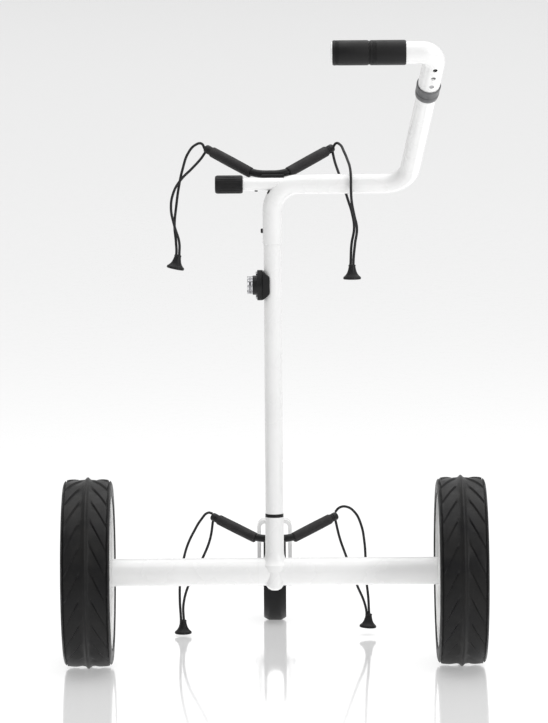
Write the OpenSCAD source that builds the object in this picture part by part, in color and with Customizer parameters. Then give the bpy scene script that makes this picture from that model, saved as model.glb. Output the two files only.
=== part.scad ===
// Three-wheeled powered golf cart: a drive axle with a geared motor in each end, one mast,
// two padded bag supports with elastic loops, and a one-hand grip with a speed dial.
// X points right and Y forward, as the user who walks behind it sees it. Z points up.

/* [Wheels] */
// Diameter of the main tyres over the centre rib
wheel_d = 290; // [284:1:296]
// Width of the main tyres
tyre_w = 73; // [70:1:76]
// Distance between the middles of the two main tyres
track_w = 565; // [560:1:600]
// Diameter of the front tyre
front_d = 137; // [130:1:140]
// Width of the front tyre
front_w = 36; // [30:1:38]
// Distance from the drive axle forward to the front axle
wheelbase = 433; // [425:1:460]

/* [Axle and base] */
// Outer diameter of the axle tubes
axle_d = 42; // [40:1:46]
// Outer diameter of the tee's upright sleeve
sleeve_d = 28; // [28:0.5:32]
// Height of the top of the upright sleeve
sleeve_top = 229; // [220:1:240]
// Outer diameter of the forward beam and of its post
beam_d = 27; // [25:1:28]
// Distance from the drive axle forward to the post behind the front wheel
post_y = 327; // [320:1:335]
// Height of the underside of the post
post_low = 64; // [60:1:90]

/* [Mast and upper frame] */
// Outer diameter of the mast
mast_d = 27; // [27:0.5:28]
// Outer diameter of the upper frame tube
frame_d = 29.5; // [29:0.5:30.5]
// Height of the lower end of the upper frame tube
frame_low = 643; // [620:1:650]
// Height of the middle of the level stretch of the upper frame tube
level_z = 733; // [725:1:740]
// Distance from the mast to the corner where the tube turns up to the handle
corner_x = 202; // [190:1:220]
// Radius of the two bends of the upper frame tube, at the middle of the tube
bend_r = 40; // [36:1:44]
// Length of the short stub tube that points left
stub_len = 44; // [40:1:50]

/* [Handle] */
// How far the handle leans back towards the user, from upright
lean = 47; // [40:1:50]
// Angle from the level tube to the handle tube, in the leaning plane
turn = 83; // [78:1:88]
// Length from the frame's corner to the grip's axis, along the handle tube
handle_len = 298.5; // [295:0.5:310]
// Outer diameter of the handle tube
handle_d = 32.5; // [32:0.5:33.5]
// Diameter of the grip
grip_d = 36.5; // [36:0.5:40]
// Distance of the grip's free end from the middle plane
grip_x = 88; // [80:1:90]
// Length of the grip, with its dial
grip_len = 107; // [100:1:110]

/* [Bag supports] */
// How far the supports' plane is tilted up, from level
bag_tilt = 35; // [25:1:40]
// Diameter of the support bars
bar_d = 10; // [9:0.5:11]
// Diameter of the padded sleeves
pad_d = 16; // [15:0.5:18]
// Distance from the drive axle forward to the lower support
lower_y = 232; // [225:1:240]

/* [Power socket] */
// Height of the middle of the socket
socket_z = 581; // [400:1:600]
// Diameter of the socket's metal shell
shell_d = 27.5; // [26:0.5:28]
// Bore of the socket's metal shell
shell_bore = 22; // [20:0.5:23]

/* [Hidden] */
$fn = 64;
gap = 0.3;
shaft_gap = 0.05;
white = [0.93, 0.93, 0.92];
black = [0.09, 0.09, 0.10];
rubber = [0.13, 0.13, 0.14];
steel = [0.72, 0.73, 0.75];
grey = [0.40, 0.41, 0.43];

// Wheels
axle_z = wheel_d / 2;
wheel_x = track_w / 2;
half_tyre = tyre_w / 2;
inner_x = wheel_x - half_tyre;
rib_drop = 4.5;
bead_r = axle_z - 24;
lip_r = bead_r - 2.5;
lip_w = 3.5;
barrel_wall = 4;
web_in = 8;
web_t = 12;
spoke_count = 6;
window_in = 30;
window_in_w = 12;
window_out = 98;
window_out_w = 92;
slot_l = 30;
slot_depth = 7;
hub_r = 19;
hub_in = -24.5;
hub_out = 29.5;
button_r = 9.7;
button_pocket = 18;

// Axle, from the middle outwards
tee_half = 25;
spigot_end = 50;
tube_wall = 1.8;
tube_bore = axle_d - 2 * tube_wall;
motor_d = tube_bore - 0.4;
motor_in = 60;
motor_out = 132;
gear_out = 192;
shaft_d = 12;
shaft_in = gear_out - 20;
shaft_out = wheel_x + button_pocket - 0.5;
bearing_in = inner_x - 22;
bearing_w = 10;
bearing_d = 30;
cap_out = inner_x + 4;
pin_d = 4;
pin_x = wheel_x + hub_in + 4.5;

// Front wheel and fork
front_z = front_d / 2;
front_hub_r = 48;
bolt_d = 8;
fork_in = 22;
fork_wall = 6;
fork_leg_w = 26;
fork_corner = 12;
fork_top = 165;
post_screw_d = 6;
post_screw_l = 16;
front_bearing_d = 22;
front_bearing_w = 7;

// Mast and tee
seal_h = 5;
mast_low = sleeve_top + seal_h;
spigot_d = 23.2;
spigot_low = 162;
mast_wall = 1.5;
mast_top = 688;
snap_z = 663;
snap_d = 7;
snap_out = 3;
snap_len = 8.5;

// Socket: its flange, collar and shell, outwards from the saddle on the mast
saddle_out = -15.5;
flange_t = 8;
flange_h = 46;
flange_w = 30;
housing_out = 7;
shell_len = 8;
insert_in = 4;
insert_d = 19;
insert_h = 8;
socket_screw_d = 3;
socket_screw_l = 14;
socket_screw_at = flange_h / 2 - 5;

// Upper frame tube: its bends are a little thicker than its straight stretches
bend_swell = 1;
bend_joint = 1.5;

// Handle, measured along the tube from the frame's corner
inner_end = 256;
collar_in = 207;
collar_out = 232;
handle_in = 212;
handle_bore = frame_d + 2 * gap;
handle_bend_r = 20;
detent_at = 240;
hole_pitch = 18;
stub_d = 20;
stub_reach = 12;
detent_tip = frame_d / 2 - 0.4;
grip_in_handle_z = handle_len * sin(turn);
grip_y = -sin(lean) * grip_in_handle_z;
dial_len = 53;
dial_groove = 1.2;

// The part's origin lies on the ground, midway along its length
front_end = wheelbase + front_d / 2;
rear_end = grip_y - grip_d / 2;
mid_y = (front_end + rear_end) / 2;

// Bag supports: middle, half of the level link, arm angle in the tilted plane, arm length
upper_mid = [-4, 21, 745];
upper_link = 24;
upper_angle = 41.5;
upper_arm = 97;
lug_x = [-10, 12];
lower_mid = [0, lower_y, axle_z + beam_d / 2 + bar_d / 2];
lower_link = 28;
lower_angle = 36.5;
lower_arm = 88;
lower_screw_d = 4;
lower_screw_in = 1.5;
pad_start = 5;
end_len = 13;
end_d = 13;

// Elastic loops: 4 mm cord from the arm's end fitting down into the toggle and back
cord_d = 4;
cord_sides = 8;
toggle_h = 22;
toggle_r = 13.5;
upper_left_route = [
    [-102, 75, 783], [-107, 76, 791], [-116, 78, 789], [-127, 80, 777], [-136, 81, 752],
    [-142, 81, 725], [-146, 80, 697], [-149, 79, 666], [-147, 78, 641], [-146.5, 76, 624],
    [-149, 75, 610], [-146, 75, 605], [-143, 75, 610], [-142, 75, 624], [-142, 74, 641],
    [-149, 73, 666], [-154, 72, 693], [-150, 71, 717], [-139, 71, 736], [-121, 72, 754],
    [-108, 74, 768], [-101, 75, 778]
];
upper_right_route = [
    [93, 74, 784], [97, 71, 790], [103, 61, 789], [109, 41, 779], [114, 18, 767],
    [117, -4, 757], [118, -17, 745], [118, -20, 729], [119, -16, 708], [123, -8, 686],
    [127, -3, 666], [124, -2, 642], [121.5, -1, 614], [122, 0, 600], [119.5, 0, 595],
    [117, 0, 600], [117.5, 2, 614], [119, 4, 642], [123, 6, 666], [120, 10, 688],
    [114, 19, 708], [108, 30, 727], [101, 46, 746], [95, 62, 764], [92, 73, 778]
];
lower_left_route = [
    [-98, 276, 196], [-105, 278, 197], [-116, 280, 186], [-127, 281, 168], [-138, 281, 145],
    [-145, 281, 120], [-150, 281, 90], [-151, 280, 58], [-149.5, 279, 28], [-149, 278, 15],
    [-146.5, 278, 10], [-144, 278, 15], [-145, 277, 28], [-145, 275, 52], [-136, 274, 84],
    [-124, 273, 107], [-112, 273, 130], [-102, 274, 156], [-97, 276, 186]
];
lower_right_route = [
    [96, 276, 197], [103, 277, 204], [114, 279, 205], [127, 281, 196], [137, 281, 176],
    [142, 281, 150], [144, 281, 120], [145, 280, 89], [148, 279, 58], [149, 278, 36],
    [150, 278, 23], [147.5, 278, 18], [145, 278, 23], [145, 277, 36], [141, 275, 54],
    [131, 274, 78], [122, 273, 102], [113, 273, 127], [103, 274, 156], [96, 276, 186]
];

// ---------- Placing ----------

// Moves a piece from the ground point under the drive axle to the part's own origin
module on_cart() {
    translate([0, -mid_y, 0]) children();
}

// A straight round tube that starts at the origin and runs up
module pipe(d, bore, h) {
    difference() {
        cylinder(d = d, h = h);
        translate([0, 0, -1]) cylinder(d = bore, h = h + 2);
    }
}

// A ring about Z that reaches the same way up and down
module pipe_ring(outer, inner, half) {
    difference() {
        translate([0, 0, -half]) cylinder(r = outer, h = 2 * half);
        translate([0, 0, -half - 1]) cylinder(r = inner, h = 2 * half + 2);
    }
}

// Turns a shape drawn upright so that it runs along X, at the drive axle's height
module along_axle() {
    translate([0, 0, axle_z]) rotate([0, 90, 0]) children();
}

// Turns a shape drawn upright so that it runs along X about the given wheel's middle
module at_wheel(side) {
    on_side(side) translate([wheel_x, 0, axle_z]) rotate([0, 90, 0]) children();
}

module on_side(side) {
    on_cart() mirror([side < 0 ? 1 : 0, 0, 0]) children();
}

// The leaning plane of the handle: its X is the cart's X and its Z runs up and back
module in_handle_plane() {
    on_cart() translate([corner_x, 0, level_z]) rotate([lean, 0, 0]) children();
}

// Along the handle tube's axis, with Z along the tube and X to the outside of the bend
module on_handle_axis(at) {
    in_handle_plane() rotate([0, 90 - turn, 0]) translate([0, 0, at]) children();
}

// Part of a bent rod in the XZ plane, about its bend centre
module bend(radius, from, angle, d) {
    rotate([90, 0, 0]) rotate([0, 0, from]) rotate_extrude(angle = angle)
        translate([radius, 0]) circle(d = d);
}

// ---------- Base ----------

module hub_tee() {
    boss_end = 44;
    socket_floor = 24;
    color(white) on_cart() difference() {
        union() {
            along_axle() translate([0, 0, -tee_half]) cylinder(d = axle_d, h = 2 * tee_half);
            along_axle() translate([0, 0, -spigot_end]) cylinder(d = tube_bore - 0.2, h = 2 * spigot_end);
            translate([0, 0, axle_z]) cylinder(d = sleeve_d, h = sleeve_top - axle_z);
            translate([0, 0, axle_z + 8]) cylinder(d1 = axle_d - 4, d2 = sleeve_d, h = 20);
            translate([0, 0, axle_z]) rotate([-90, 0, 0]) cylinder(d = beam_d + 5, h = boss_end);
        }
        translate([0, 0, spigot_low - 4]) cylinder(d = spigot_d + 2 * gap, h = sleeve_top);
        translate([0, socket_floor, axle_z]) rotate([-90, 0, 0]) cylinder(d = beam_d + 0.2, h = boss_end);
    }
}

module tee_seal() {
    color(black) on_cart() translate([0, 0, sleeve_top]) pipe(mast_d + 0.4, spigot_d + 2 * gap, seal_h);
}

module axle_tube(side) {
    color(white) on_side(side) along_axle() translate([0, 0, tee_half])
        pipe(axle_d, tube_bore, inner_x - tee_half);
}

module motor(side) {
    tail_d = 16;
    tail_h = 4;
    color(grey) on_side(side) along_axle() {
        translate([0, 0, motor_in]) cylinder(d = motor_d, h = motor_out - motor_in);
        translate([0, 0, motor_in - tail_h]) cylinder(d = tail_d, h = tail_h);
    }
}

module gearbox(side) {
    color(steel) on_side(side) along_axle() difference() {
        union() {
            translate([0, 0, motor_out]) cylinder(d = motor_d, h = gear_out - motor_out - 6);
            translate([0, 0, gear_out - 6]) cylinder(d = 26, h = 6);
        }
        translate([0, 0, shaft_in - 1]) cylinder(d = shaft_d + 2 * shaft_gap, h = 30);
    }
}

module axle_cap(side) {
    cap_in = bearing_in - 6;
    color(white) on_side(side) along_axle() difference() {
        union() {
            translate([0, 0, cap_in]) cylinder(d = tube_bore - 0.2, h = inner_x - cap_in);
            translate([0, 0, inner_x]) cylinder(d1 = axle_d, d2 = axle_d - 3, h = cap_out - inner_x);
        }
        translate([0, 0, cap_in - 1]) cylinder(d = shaft_d + 3, h = 60);
        translate([0, 0, cap_in - 1]) cylinder(d = bearing_d, h = bearing_w + 7);
    }
}

module shaft_bearings() {
    color(steel) for (side = [-1, 1]) on_side(side) along_axle() translate([0, 0, bearing_in])
        pipe(bearing_d, shaft_d + 2 * shaft_gap, bearing_w);
}

module drive_shaft(side) {
    collar_d = 16;
    collar_in = cap_out + 0.6;
    collar_h = wheel_x + hub_in - collar_in;
    pin_len = 28;
    color(steel) on_side(side) {
        along_axle() translate([0, 0, shaft_in]) cylinder(d = shaft_d, h = shaft_out - shaft_in);
        along_axle() translate([0, 0, collar_in]) cylinder(d = collar_d, h = collar_h - 0.2);
        translate([pin_x, 0, axle_z - pin_len / 2]) cylinder(d = pin_d, h = pin_len);
    }
}

// ---------- Main wheels, about the wheel's middle and with Z along the axle, outwards ----------

module rim(side) {
    barrel_r = bead_r - barrel_wall;
    half = half_tyre - lip_w;
    slot_w = pin_d + 2 * gap;
    color(white) at_wheel(side) difference() {
        union() {
            pipe_ring(bead_r, barrel_r, half);
            translate([0, 0, hub_in]) cylinder(r = hub_r, h = hub_out - hub_in);
            translate([0, 0, web_in]) cylinder(r = barrel_r + 1, h = web_t);
        }
        for (i = [0 : spoke_count - 1]) rotate([0, 0, (i + 0.5) * 360 / spoke_count])
            translate([0, 0, web_in - 1]) linear_extrude(web_t + 2) polygon([
                [window_in, -window_in_w / 2], [window_out, -window_out_w / 2],
                [window_out, window_out_w / 2], [window_in, window_in_w / 2]
            ]);
        translate([0, 0, hub_in - 1]) cylinder(d = shaft_d + 2 * gap, h = hub_out - hub_in + 2);
        translate([0, 0, button_pocket]) cylinder(r = button_r + gap, h = 30);
        translate([-slot_l / 2, -slot_w / 2, hub_in - 1]) cube([slot_l, slot_w, slot_depth + 1]);
    }
}

module main_tyre(side) {
    top = axle_z - rib_drop;
    color(rubber) at_wheel(side) rotate_extrude($fn = 96) polygon([
        [bead_r, -half_tyre + lip_w], [lip_r, -half_tyre + lip_w], [lip_r, -half_tyre + 1],
        [bead_r + 2, -half_tyre], [top - 6, -half_tyre], [top - 2, -half_tyre + 2], [top, -half_tyre + 6],
        [top - 0.6, -12], [top + 1, -5], [axle_z, -1.2], [axle_z, 1.2], [top + 1, 5], [top - 0.6, 12],
        [top, half_tyre - 6], [top - 2, half_tyre - 2], [top - 6, half_tyre], [bead_r + 2, half_tyre],
        [lip_r, half_tyre - 1], [lip_r, half_tyre - lip_w], [bead_r, half_tyre - lip_w]
    ]);
}

module release_button(side) {
    button_in = button_pocket + 4.5;
    button_len = 12;
    color(black) at_wheel(side) translate([0, 0, button_in]) {
        cylinder(r = button_r, h = button_len - 1.5);
        translate([0, 0, button_len - 1.5]) cylinder(r1 = button_r, r2 = button_r - 1.5, h = 1.5);
    }
}

// ---------- Front ----------

module front_beam() {
    dome_r = beam_d / 2;
    post_top = fork_top - fork_wall;
    tube_in = 25;
    tube_end = post_y - 20;
    drain_d = 6;
    drain_l = 40;
    color(white) on_cart() difference() {
        union() {
            translate([0, tube_in, axle_z]) rotate([-90, 0, 0]) cylinder(d = beam_d, h = post_y - tube_in);
            translate([0, post_y, post_low + dome_r])
                cylinder(d = beam_d, h = post_top - post_low - dome_r);
            translate([0, post_y, post_low + dome_r]) sphere(r = dome_r);
        }
        translate([0, tube_in - 1, axle_z]) rotate([-90, 0, 0])
            cylinder(d = beam_d - 3, h = tube_end - tube_in);
        translate([0, post_y, post_low - 1]) cylinder(d = drain_d, h = drain_l);
        translate([0, post_y, fork_top - post_screw_l]) cylinder(d = post_screw_d, h = post_screw_l);
        lower_screw_hole();
    }
}

// The hole for the screw that holds the lower support on the beam
module lower_screw_hole() {
    translate([0, lower_y, axle_z + beam_d / 2 - lower_screw_in])
        cylinder(d = lower_screw_d, h = bar_d + 2 * lower_screw_in);
}

module fork_side() {
    translate([fork_in, wheelbase, 0]) rotate([0, 90, 0]) linear_extrude(fork_wall) union() {
        translate([fork_corner - fork_top, -fork_leg_w / 2])
            square([fork_top - fork_corner - front_z, fork_leg_w]);
        translate([-front_z, 0]) circle(d = fork_leg_w);
    }
}

module front_fork() {
    corner = fork_corner;
    out = fork_in + fork_wall;
    tongue_in = post_y - beam_d / 2;
    crown_y = wheelbase - fork_leg_w / 2;
    color(white) on_cart() difference() {
        union() {
            fork_side();
            mirror([1, 0, 0]) fork_side();
            translate([-out + corner, crown_y, fork_top - fork_wall])
                cube([2 * (out - corner), fork_leg_w, fork_wall]);
            for (side = [-1, 1]) mirror([side < 0 ? 1 : 0, 0, 0])
                translate([out - corner, wheelbase + fork_leg_w / 2, fork_top - corner])
                    rotate([90, 0, 0])
                    rotate_extrude(angle = 90) translate([corner - fork_wall, 0])
                        square([fork_wall, fork_leg_w]);
            translate([-beam_d / 2, tongue_in, fork_top - fork_wall])
                cube([beam_d, wheelbase - tongue_in, fork_wall]);
        }
        translate([0, wheelbase, front_z]) rotate([0, 90, 0])
            cylinder(d = bolt_d + 0.2, h = 3 * out, center = true);
        translate([0, post_y, fork_top - 2 * fork_wall]) cylinder(d = post_screw_d + 0.4, h = 3 * fork_wall);
    }
}

module at_front_axle() {
    on_cart() translate([0, wheelbase, front_z]) rotate([0, 90, 0]) children();
}

module front_tyre() {
    half = front_w / 2;
    chamfer = 5;
    color(rubber) at_front_axle() rotate_extrude() polygon([
        [front_hub_r, -half + 2], [front_hub_r + 2, -half], [front_z - chamfer, -half],
        [front_z, -half + 8], [front_z, half - 8], [front_z - chamfer, half],
        [front_hub_r + 2, half], [front_hub_r, half - 2]
    ]);
}

module front_rim() {
    half = front_w / 2 - 2;
    bearing_seat = 19 - front_bearing_w;
    color(grey) at_front_axle() difference() {
        union() {
            pipe_ring(front_hub_r, front_hub_r - 5, half);
            translate([0, 0, -4]) cylinder(r = front_hub_r - 4, h = 8);
            translate([0, 0, -19]) cylinder(r = 15, h = 38);
        }
        translate([0, 0, -30]) cylinder(d = bolt_d + 6, h = 60);
        translate([0, 0, bearing_seat]) cylinder(d = front_bearing_d, h = 30);
        translate([0, 0, -30 - bearing_seat]) cylinder(d = front_bearing_d, h = 30);
    }
}

module front_bearings() {
    color(steel) at_front_axle() for (side = [-1, 1]) translate([0, 0, side * (19 - front_bearing_w / 2)])
        pipe_ring(front_bearing_d / 2, bolt_d / 2 + shaft_gap, front_bearing_w / 2);
}

module front_axle_bolt() {
    out = fork_in + fork_wall;
    head_h = 5;
    color(steel) at_front_axle() {
        translate([0, 0, -out]) cylinder(d = bolt_d, h = 2 * out);
        translate([0, 0, out]) cylinder(d = 14, h = head_h, $fn = 6);
        translate([0, 0, -out - head_h]) cylinder(d = 13, h = head_h);
        for (side = [-1, 1]) translate([0, 0, side * (19.2 + fork_in) / 2])
            pipe_ring(7, bolt_d / 2 - 0.1, (fork_in - 19.6) / 2);
    }
}

module base_screws() {
    head_h = 3.5;
    color(steel) on_cart() {
        translate([0, post_y, fork_top]) cylinder(d = 11, h = head_h);
        translate([0, post_y, fork_top - post_screw_l]) cylinder(d = post_screw_d, h = post_screw_l);
        translate([0, lower_y, lower_mid[2] + bar_d / 2]) cylinder(d = 8, h = 2.5);
        translate([0, lower_y, axle_z + beam_d / 2 - lower_screw_in])
            cylinder(d = lower_screw_d, h = bar_d + lower_screw_in);
    }
}

// ---------- Bag supports ----------

// The tilted plane of a support, about the middle of its link
module in_support(mid) {
    on_cart() translate(mid) rotate([bag_tilt, 0, 0]) children();
}

// Along one arm of a support, with Z along the arm from the bend
module on_arm(mid, link, angle, side) {
    in_support(mid) mirror([side < 0 ? 1 : 0, 0, 0]) translate([link, 0, 0])
        rotate([0, 0, angle]) rotate([0, 90, 0]) children();
}

module support_bar(mid, link, angle, arm) {
    in_support(mid) rotate([0, 90, 0]) translate([0, 0, -link]) cylinder(d = bar_d, h = 2 * link);
    for (side = [-1, 1]) {
        on_arm(mid, link, angle, side) sphere(d = bar_d);
        on_arm(mid, link, angle, side) cylinder(d = bar_d, h = arm - 6);
    }
}

module pad(mid, link, angle, arm, side) {
    pad_len = arm - end_len - pad_start;
    color(rubber) on_arm(mid, link, angle, side) translate([0, 0, pad_start]) pipe(pad_d, bar_d, pad_len);
}

module cord_end(mid, link, angle, arm, side) {
    color(black) on_arm(mid, link, angle, side) translate([0, 0, arm - end_len]) difference() {
        union() {
            cylinder(d = end_d, h = end_len - 2);
            translate([0, 0, end_len - 2]) cylinder(d1 = end_d, d2 = end_d - 4, h = 2);
        }
        translate([0, 0, -1]) cylinder(d = bar_d, h = 8);
    }
}

module lower_support_bar() {
    saddle_w = 24;
    saddle_l = 16;
    saddle_low = axle_z + 6;
    color(black) difference() {
        union() {
            support_bar(lower_mid, lower_link, lower_angle, lower_arm);
            on_cart() translate([-saddle_w / 2, lower_y - saddle_l / 2, saddle_low])
                cube([saddle_w, saddle_l, lower_mid[2] - saddle_low]);
        }
        on_cart() translate([0, lower_y - saddle_w, axle_z]) rotate([-90, 0, 0])
            cylinder(d = beam_d, h = 2 * saddle_w);
        on_cart() lower_screw_hole();
    }
}

module upper_support_bar() {
    lug_l = 12;
    lug_h = 14;
    lug_y = 6;
    color(black) difference() {
        union() {
            support_bar(upper_mid, upper_link, upper_angle, upper_arm);
            on_cart() for (x = lug_x) translate([x - lug_l / 2, lug_y, level_z + 2])
                cube([lug_l, upper_mid[1] - lug_y, lug_h]);
        }
        frame_rod(frame_d, 0);
        on_cart() translate([-stub_len, 0, level_z]) rotate([0, 90, 0])
            cylinder(d = stub_d, h = stub_len + stub_reach);
        support_screws();
    }
}

module support_screws() {
    screw_d = 6;
    head_h = 3;
    color(steel) on_cart() for (x = lug_x) translate([x, upper_mid[1] + bar_d / 2 - 1, level_z + 12])
        rotate([-90, 0, 0]) cylinder(d = screw_d, h = head_h);
}

// The small screws of the socket and of the upper support
module mast_screws() {
    support_screws();
    socket_screws();
}

module lower_cord_ends() {
    for (side = [-1, 1]) cord_end(lower_mid, lower_link, lower_angle, lower_arm, side);
}

module upper_cord_ends() {
    for (side = [-1, 1]) cord_end(upper_mid, upper_link, upper_angle, upper_arm, side);
}

// ---------- Mast ----------

module snap_hole() {
    translate([-frame_d, 0, snap_z]) rotate([0, 90, 0]) cylinder(d = snap_d + 2 * gap, h = frame_d);
}

module mast() {
    color(white) on_cart() difference() {
        union() {
            translate([0, 0, mast_low]) cylinder(d = mast_d, h = mast_top - mast_low);
            translate([0, 0, spigot_low]) cylinder(d = spigot_d, h = mast_low - spigot_low);
        }
        translate([0, 0, mast_low + 8]) cylinder(d = mast_d - 2 * mast_wall, h = mast_top);
        translate([0, 0, spigot_low - 1]) cylinder(d = spigot_d - 4, h = 200);
        snap_hole();
        socket_screw_holes();
    }
}

module snap_button() {
    tail_d = snap_d - 2;
    tail_h = 1.5;
    color(black) on_cart() translate([-frame_d / 2 - snap_out, 0, snap_z]) rotate([0, 90, 0]) {
        cylinder(d1 = tail_d, d2 = snap_d, h = 1);
        translate([0, 0, 1]) cylinder(d = snap_d, h = snap_len - tail_h - 1);
        translate([0, 0, snap_len - tail_h]) cylinder(d = tail_d, h = tail_h);
    }
}

// A leaf spring folded at its upper end: one leg carries the button, the other leans on the mast's far wall
module snap_spring() {
    leaf_w = 6;
    leaf_t = 0.8;
    leaf_h = 30;
    spread = 8;
    fold = leaf_h - 1;
    leaf_x = snap_len - frame_d / 2 - snap_out;
    color(steel) on_cart() translate([leaf_x, leaf_w / 2, snap_z - leaf_h / 2])
        rotate([90, 0, 0]) linear_extrude(leaf_w) polygon([
            [0, 0], [leaf_t, 0], [leaf_t, fold - 4], [spread, 0], [spread + leaf_t, 0],
            [leaf_t, leaf_h], [0, leaf_h]
        ]);
}

// ---------- Power socket ----------

module on_socket() {
    on_cart() translate([saddle_out, 0, socket_z]) rotate([0, -90, 0]) children();
}

module socket_screw_holes() {
    for (up = [-1, 1]) translate([saddle_out - flange_t - 5, 0, socket_z + up * socket_screw_at])
        rotate([0, 90, 0]) cylinder(d = socket_screw_d, h = socket_screw_l + 5);
}

module socket_saddle() {
    half_h = flange_h / 2;
    color(black) on_cart() difference() {
        translate([saddle_out, 0, socket_z - half_h]) linear_extrude(flange_h)
            translate([0, -mast_d / 2 - 3.5]) square([11, mast_d + 7]);
        cylinder(d = mast_d, h = 800);
        socket_screw_holes();
    }
}

module socket_housing() {
    ear_r = 7;
    color(black) difference() {
        union() {
            on_socket() linear_extrude(flange_t) hull() {
                circle(d = flange_w);
                for (up = [-1, 1]) translate([up * (flange_h / 2 - ear_r), 0]) circle(r = ear_r);
            }
            on_socket() translate([0, 0, flange_t]) cylinder(d = shell_d + 1.5, h = housing_out);
        }
        on_socket() translate([0, 0, insert_in]) cylinder(d = insert_d, h = insert_h);
        on_socket() translate([0, 0, insert_in + insert_h]) cylinder(d = shell_bore, h = 40);
        on_cart() socket_screw_holes();
    }
}

module socket_shell() {
    color(steel) on_socket() translate([0, 0, flange_t + housing_out]) pipe(shell_d, shell_bore, shell_len);
}

module socket_insert() {
    contact_circle = 6;
    contact_d = 2.4;
    color(grey) on_socket() translate([0, 0, insert_in]) difference() {
        cylinder(d = insert_d, h = insert_h);
        for (a = [90, 210, 330]) rotate([0, 0, a]) translate([contact_circle, 0, 2])
            cylinder(d = contact_d, h = insert_h);
    }
}

module socket_screws() {
    head_h = 2;
    color(steel) on_cart() for (up = [-1, 1])
        translate([saddle_out - flange_t - head_h, 0, socket_z + up * socket_screw_at]) rotate([0, 90, 0]) {
            cylinder(d = 2 * socket_screw_d, h = head_h);
            cylinder(d = socket_screw_d, h = socket_screw_l);
        }
}

// ---------- Upper frame ----------

// The run of the upper frame tube as a solid rod, longer by the given amount at its two ends
module frame_rod(d, extra) {
    tangent = bend_r * tan(turn / 2);
    on_cart() {
        translate([0, 0, frame_low - extra]) cylinder(d = d, h = level_z - bend_r - frame_low + extra);
        translate([bend_r, 0, level_z - bend_r]) bend(bend_r, 90, 90, d);
        translate([bend_r, 0, level_z]) rotate([0, 90, 0])
            cylinder(d = d, h = corner_x - tangent - bend_r + bend_joint);
    }
    in_handle_plane() translate([-tangent, 0, bend_r]) bend(bend_r, -90, turn, d + bend_swell);
    on_handle_axis(tangent - bend_joint) cylinder(d = d, h = inner_end - tangent + extra + bend_joint);
}

module upper_frame_tube() {
    color(white) difference() {
        frame_rod(frame_d, 0);
        frame_rod(mast_d + 0.2, 1);
        on_cart() snap_hole();
        on_handle_axis(detent_at) detent_turn() cylinder(d = snap_d + 0.2, h = frame_d);
    }
}

module stub_tube() {
    in_grip = 25;
    color(white) difference() {
        on_cart() translate([-stub_len - in_grip, 0, level_z]) rotate([0, 90, 0])
            pipe(stub_d, stub_d - 4, stub_len + in_grip + stub_reach);
        frame_rod(frame_d, 0);
    }
}

module stub_grip() {
    grip_l = 42;
    d = 27.5;
    color(black) on_cart() translate([-stub_len, 0, level_z]) rotate([0, -90, 0]) difference() {
        union() {
            cylinder(d = d, h = grip_l - 2);
            translate([0, 0, grip_l - 2]) cylinder(d1 = d, d2 = d - 4, h = 2);
        }
        translate([0, 0, -1]) cylinder(d = stub_d, h = 27);
    }
}

// ---------- Handle ----------

// Points Z out of the handle tube towards the user
module detent_turn() {
    rotate([0, 0, 6]) rotate([90, 0, 0]) children();
}

module handle_detent() {
    spring_w = 6;
    spring_l = 30;
    root = 6;
    color(black) on_handle_axis(detent_at) {
        detent_turn() translate([0, 0, root]) cylinder(d = snap_d, h = detent_tip - root);
        detent_turn() translate([-spring_w / 2, 5 - spring_l, root - 1]) cube([spring_w, spring_l, 1]);
    }
}

module handle_collar() {
    d = 37;
    bore = handle_d;
    color(grey) on_handle_axis(collar_in) difference() {
        union() {
            cylinder(d1 = d - 3, d2 = d, h = 6);
            translate([0, 0, 6]) cylinder(d = d, h = collar_out - collar_in - 6);
        }
        translate([0, 0, -1]) cylinder(d = handle_bore, h = 40);
        translate([0, 0, handle_in - collar_in]) cylinder(d = bore, h = 40);
        collar_screw_hole() cylinder(d = 5, h = 30);
    }
}

// The clamp screw's place: in the middle of the collar, on the side away from the user
module collar_screw_hole() {
    translate([0, 0, 14]) rotate([-90, 0, 0]) children();
}

module collar_screw() {
    color(steel) on_handle_axis(collar_in) collar_screw_hole() translate([0, 0, handle_d / 2 + 0.1]) {
        cylinder(d = 5, h = 2.5);
        translate([0, 0, 2.5]) cylinder(d = 8, h = 2);
    }
}

// The run of the handle tube as a solid rod, longer by the given amount at its two ends
module handle_rod(d, extra) {
    bend_turn = 180 - turn;
    tangent = handle_bend_r * tan(bend_turn / 2);
    cap_x = grip_x - corner_x;
    on_handle_axis(handle_in - extra) cylinder(d = d, h = handle_len - tangent - handle_in + extra);
    in_handle_plane() {
        translate([handle_len * cos(turn) - tangent, 0, grip_in_handle_z - handle_bend_r])
            bend(handle_bend_r, turn - 90, bend_turn, d);
        translate([cap_x - extra, 0, grip_in_handle_z]) rotate([0, 90, 0])
            cylinder(d = d, h = handle_len * cos(turn) - tangent - cap_x + extra);
    }
}

module handle_tube() {
    color(white) difference() {
        handle_rod(handle_d, 0);
        handle_rod(handle_bore, 1);
        for (i = [0 : 2]) on_handle_axis(detent_at + i * hole_pitch) detent_turn()
            cylinder(d = snap_d, h = handle_d);
    }
}

// A sleeve on the grip's stretch of the handle tube, between two distances from the middle plane
module grip_sleeve(from, to, bore) {
    round = 1.5;
    in_handle_plane() translate([from - corner_x, 0, grip_in_handle_z]) rotate([0, 90, 0]) difference() {
        union() {
            cylinder(d1 = grip_d - 2 * round, d2 = grip_d, h = round);
            translate([0, 0, round]) cylinder(d = grip_d, h = to - from - 2 * round);
            translate([0, 0, to - from - round]) cylinder(d1 = grip_d, d2 = grip_d - 2 * round, h = round);
        }
        translate([0, 0, -1]) cylinder(d = bore, h = to - from + 2);
    }
}

module fixed_grip() {
    color(black) grip_sleeve(grip_x + dial_len + dial_groove, grip_x + grip_len, handle_d);
}

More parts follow.
